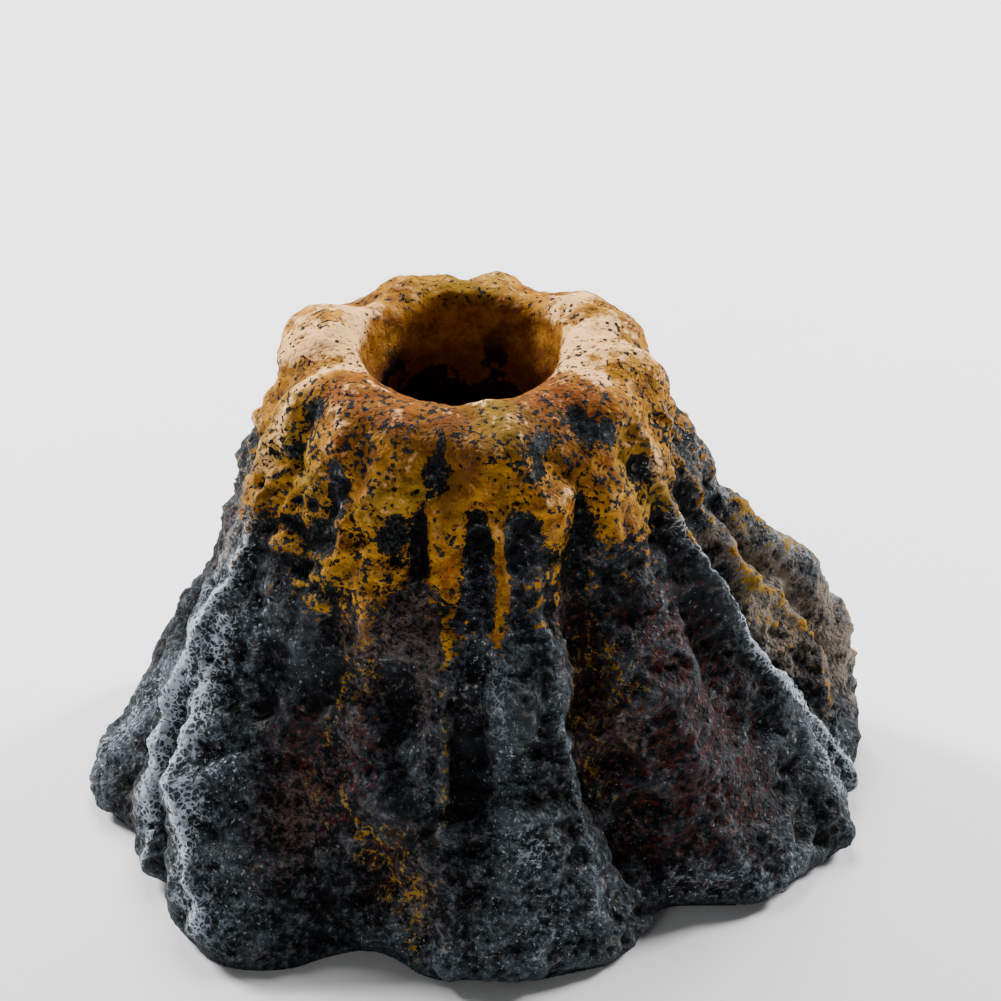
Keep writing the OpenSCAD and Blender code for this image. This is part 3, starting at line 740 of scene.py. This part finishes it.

    # the ochre's tones, from gold to umber, rust and olive, and a light orange painted highlight on the tops
    tone = n.noise(1.9, 5.0, 0.65, offset=6.0)
    gold = n.mix(n.step(tone, 0.36, 0.64), DARK_GOLD, BRIGHT_GOLD)
    gold = n.paint(gold, DEEP_UMBER, n.attribute("umber"), 0.75)
    gold = n.paint(gold, DULL_OLIVE, n.attribute("olive"), 0.65)
    rust = n.math("MAXIMUM", n.attribute("rust"), n.step(n.noise(3.2, 3.0, 0.6, offset=8.0), 0.6, 0.7))
    gold = n.paint(gold, RUST_RED, n.speckle(n.times(rust, 0.6), grain, 0.4), 0.75)
    # a light orange painted highlight on proud places near the top
    crest = n.total(0.0, (hollowness, -0.6), (n.attribute("painted_highlight"), 0.7))
    smear = n.total(0.0, (clump, 0.5), (grain, 0.5))
    painted_highlight = n.times(n.speckle(crest, smear, 0.25), n.step(high, TOP_Z - 13, TOP_Z - 7))
    gold = n.paint(gold, PAINTED_HIGHLIGHT_CREAM, painted_highlight, 0.9)
    colour = n.mix(ochre, colour, gold)

    # the crater's throat, red-brown with painted shade deepening downwards and dark patches of painted
    # shadow, and bare resin underneath
    inside = n.attribute("inside")
    depth = n.math("SUBTRACT", TOP_Z, high)
    patches = n.step(n.noise(4.0, 3.0, 0.6, offset=4.0), 0.36, 0.64)
    wall = n.mix(n.step(tone, 0.38, 0.62), DARK_THROAT, BRIGHT_THROAT)
    # painted shade deeper into the crater, and patches of painted shadow below it
    wall = n.paint(wall, THROAT_PAINTED_SHADE, n.step(depth, 4.0, 8.0), 0.8)
    black = n.speckle(n.times(n.step(depth, 5.0, 11.0), 0.65), patches, 0.12)
    wall = n.paint(wall, THROAT_PAINTED_SHADOW, black, 0.95)
    wall = n.mix(n.step(depth, 15.0, 20.0), wall, BARE_RESIN)
    colour = n.mix(n.times(inside, n.step(depth, 1.0, 3.0)), colour, wall)
    # dark wash and painted shade in the small pits
    colour = n.paint(colour, PIT_WASH_AND_SHADE, n.step(cavity, 0.05, 0.2), 0.85)

    height = n.total(0.0, (n.step(cells, 0.1, 0.5), 0.8), (grain, 0.5), (stipple, 0.3))
    height = n.times(height, rough_area)
    calm = n.rest(n.total(0.0, (ochre, 0.5), (inside, 0.35)))
    n.bump(n.times(height, calm), ROCK_BUMP, 0.85)
    return n.finish(colour, n.total(0.55, (grain, 0.25)), Specular_IOR_Level=0.1)


def mineral():
    """The air stone's pale bonded grains, with painted shade in the gaps."""
    n = Nodes("bonded_mineral")
    grains = n.cells(0.55)
    colour = n.mix(n.noise(0.5, 2.0), (0.22, 0.27, 0.33), (0.55, 0.6, 0.64))
    # painted shade in the gaps between the grains
    colour = n.mix(n.step(grains, 0.45, 0.75), colour, (0.05, 0.06, 0.08))
    n.bump(n.step(grains, 0.7, 0.1), 0.2 * MM)
    return n.finish(colour, 0.85)


def moulded(name, colour, roughness, grain, depth, **values):
    """Moulded plastic or rubber with a faint texture and tone."""
    n = Nodes(name)
    tone = n.noise(1.8, 3.0)
    darker = tuple(0.82 * part for part in colour)
    n.bump(n.noise(grain, 4.0, 0.6), depth)
    spread = n.total(roughness - 0.1, (n.noise(3.0, 4.0, offset=4.0), 0.2))
    return n.finish(n.mix(tone, darker, colour), spread, **values)


# ---------------------------------------------------------------- floor

FLOOR_HALF = 0.7


def make_floor():
    mesh = bpy.data.meshes.new("studio_floor")
    corners = [(x * FLOOR_HALF, y * FLOOR_HALF, 0) for x, y in ((-1, -1), (1, -1), (1, 1), (-1, 1))]
    mesh.from_pydata(corners, [], [(0, 1, 2, 3)])
    floor = bpy.data.objects.new("studio_floor", mesh)
    bpy.context.scene.collection.objects.link(floor)
    n = Nodes("pale_floor")
    tone = n.mix(n.noise(40.0, 2.0), (0.86, 0.86, 0.86), (0.9, 0.9, 0.9))
    mesh.materials.append(n.finish(tone, 0.6))


# ---------------------------------------------------------------- the air unit and the stone


# Places on the air unit, in mm; x and y are from the crater's axis
RIBS_FROM = (22.9, 23.5)  # heights over which the cap's grip ribs begin
RIB_COUNT = 30
CAP_WALL_RADIUS = 7.3
INLET_Z = 10  # the inlet's axis
BARB_PITCH, BARBED_LENGTH = 2, 6
CUP_Y = 8  # the cup's axis
SLEEVE_MIDDLE_Z = 18.5


def soften(node, voxel, rounds):
    """A finely remeshed copy of a CAD node with its moulded edges rounded over."""
    piece = voxel_copy(node, node + "_moulded", voxel * MM)
    points = relaxed(get_points(piece.data), get_edges(piece.data), rounds)
    set_points(piece.data, points)
    shade_smooth(piece.data)
    return piece


def nudge(piece, push):
    """Moves each vertex along its normal by push(points in mm from the crater's axis), in mm."""
    points = get_points(piece.data)
    amount = push((points - np.array([CRATER.x, CRATER.y, 0])) / MM)
    set_points(piece.data, points + get_normals(piece.data) * (amount * MM)[:, None])
    shade_smooth(piece.data)


def stone_grains(p):
    """Rounded grains with gaps between, all within the stone's CAD surface."""
    near, second, tag = cells_at(p / 0.8, 91)
    return 0.2 * smooth_step(0.02, 0.4, second - near) - 0.24 - 0.14 * (tag > 0.86)


def cap_ribs(p):
    """Grip ribs round the cap's wall."""
    radius = np.hypot(p[:, 0], p[:, 1])
    wall_top = STONE_LOW.z / MM + 2.5
    band = smooth_step(*RIBS_FROM, p[:, 2]) * smooth_step(wall_top, wall_top - 0.5, p[:, 2])
    ribs = smooth_step(0, 0.6, np.cos(RIB_COUNT * np.arctan2(p[:, 1], p[:, 0])))
    return 0.14 * ribs * band * (radius > CAP_WALL_RADIUS)


def elbow_barbs(p):
    """Hose barbs behind the inlet's tip, and the mould's parting line."""
    tip = (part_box("elbow_fitting")[1] - CRATER).y / MM
    back = tip - p[:, 1]
    around = np.hypot(p[:, 0], p[:, 2] - INLET_Z)
    barb = (back / BARB_PITCH % 1) * (back > 0) * (back < BARBED_LENGTH) * (around > 2)
    return 0.28 * barb + 0.05 * np.exp(-(p[:, 0] / 0.14) ** 2)


def cup_rings(p):
    """Faint steps moulded round the cup's upper side."""
    radius = np.hypot(p[:, 0], p[:, 1] - CUP_Y)
    return 0.06 * np.sin(radius * 2.4) * smooth_step(3.5, 5, radius) * (p[:, 2] > 0.4)


def sleeve_grip(p):
    """The sleeve bulges where the spigots stretch it."""
    return -0.1 * np.cos((p[:, 2] - SLEEVE_MIDDLE_Z) * 0.75)


def dress(piece, node, body, material):
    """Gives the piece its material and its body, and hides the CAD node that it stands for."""
    piece.data.materials.clear()
    piece.data.materials.append(material)
    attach(piece, body)
    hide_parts(node)


def make_moulded(node, body, slot, voxel, rounds, push=None, **look):
    """A moulded piece in place of a CAD node; slot names its material."""
    piece = soften(node, voxel, rounds)
    if push:
        nudge(piece, push)
    dress(piece, node, body, moulded(slot, **look))


def make_air_unit():
    """The elbow, the clip, the sleeve and the sucker."""
    make_moulded("elbow_fitting", "air_unit", "fitting_plastic", 0.15, 3, elbow_barbs,
                 colour=(0.016, 0.016, 0.018), roughness=0.38, grain=0.35, depth=0.012 * MM)
    make_moulded("tube_clip", "air_unit", "clip_plastic", 0.15, 4,
                 colour=(0.02, 0.021, 0.022), roughness=0.5, grain=0.3, depth=0.015 * MM)
    make_moulded("coupling_sleeve", "air_unit", "silicone", 0.14, 3, sleeve_grip,
                 colour=(0.62, 0.67, 0.68), roughness=0.3, grain=0.8, depth=0.01 * MM,
                 Transmission_Weight=0.3)
    make_moulded("suction_cup", "air_unit", "cup_rubber", 0.18, 3, cup_rings,
                 colour=(0.42, 0.52, 0.52), roughness=0.2, grain=0.8, depth=0.008 * MM,
                 Transmission_Weight=0.35)


def make_stone():
    """The air stone and its cap."""
    stone = soften("air_stone", 0.2, 2)
    nudge(stone, stone_grains)
    dress(stone, "air_stone", "stone", mineral())
    make_moulded("stone_cap", "stone", "cap_plastic", 0.15, 3, cap_ribs,
                 colour=(0.66, 0.69, 0.7), roughness=0.35, grain=0.5, depth=0.01 * MM)


# ---------------------------------------------------------------- put it together

make_camera()
make_studio()
make_floor()
rock_piece = make_rock()
dress(rock_piece, "volcano_shell", "shell", rock_paint())
make_stone()
make_air_unit()

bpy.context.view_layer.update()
for shown in bpy.data.objects:
    if shown.type == "MESH":
        print("faces", shown.name, len(shown.data.polygons))
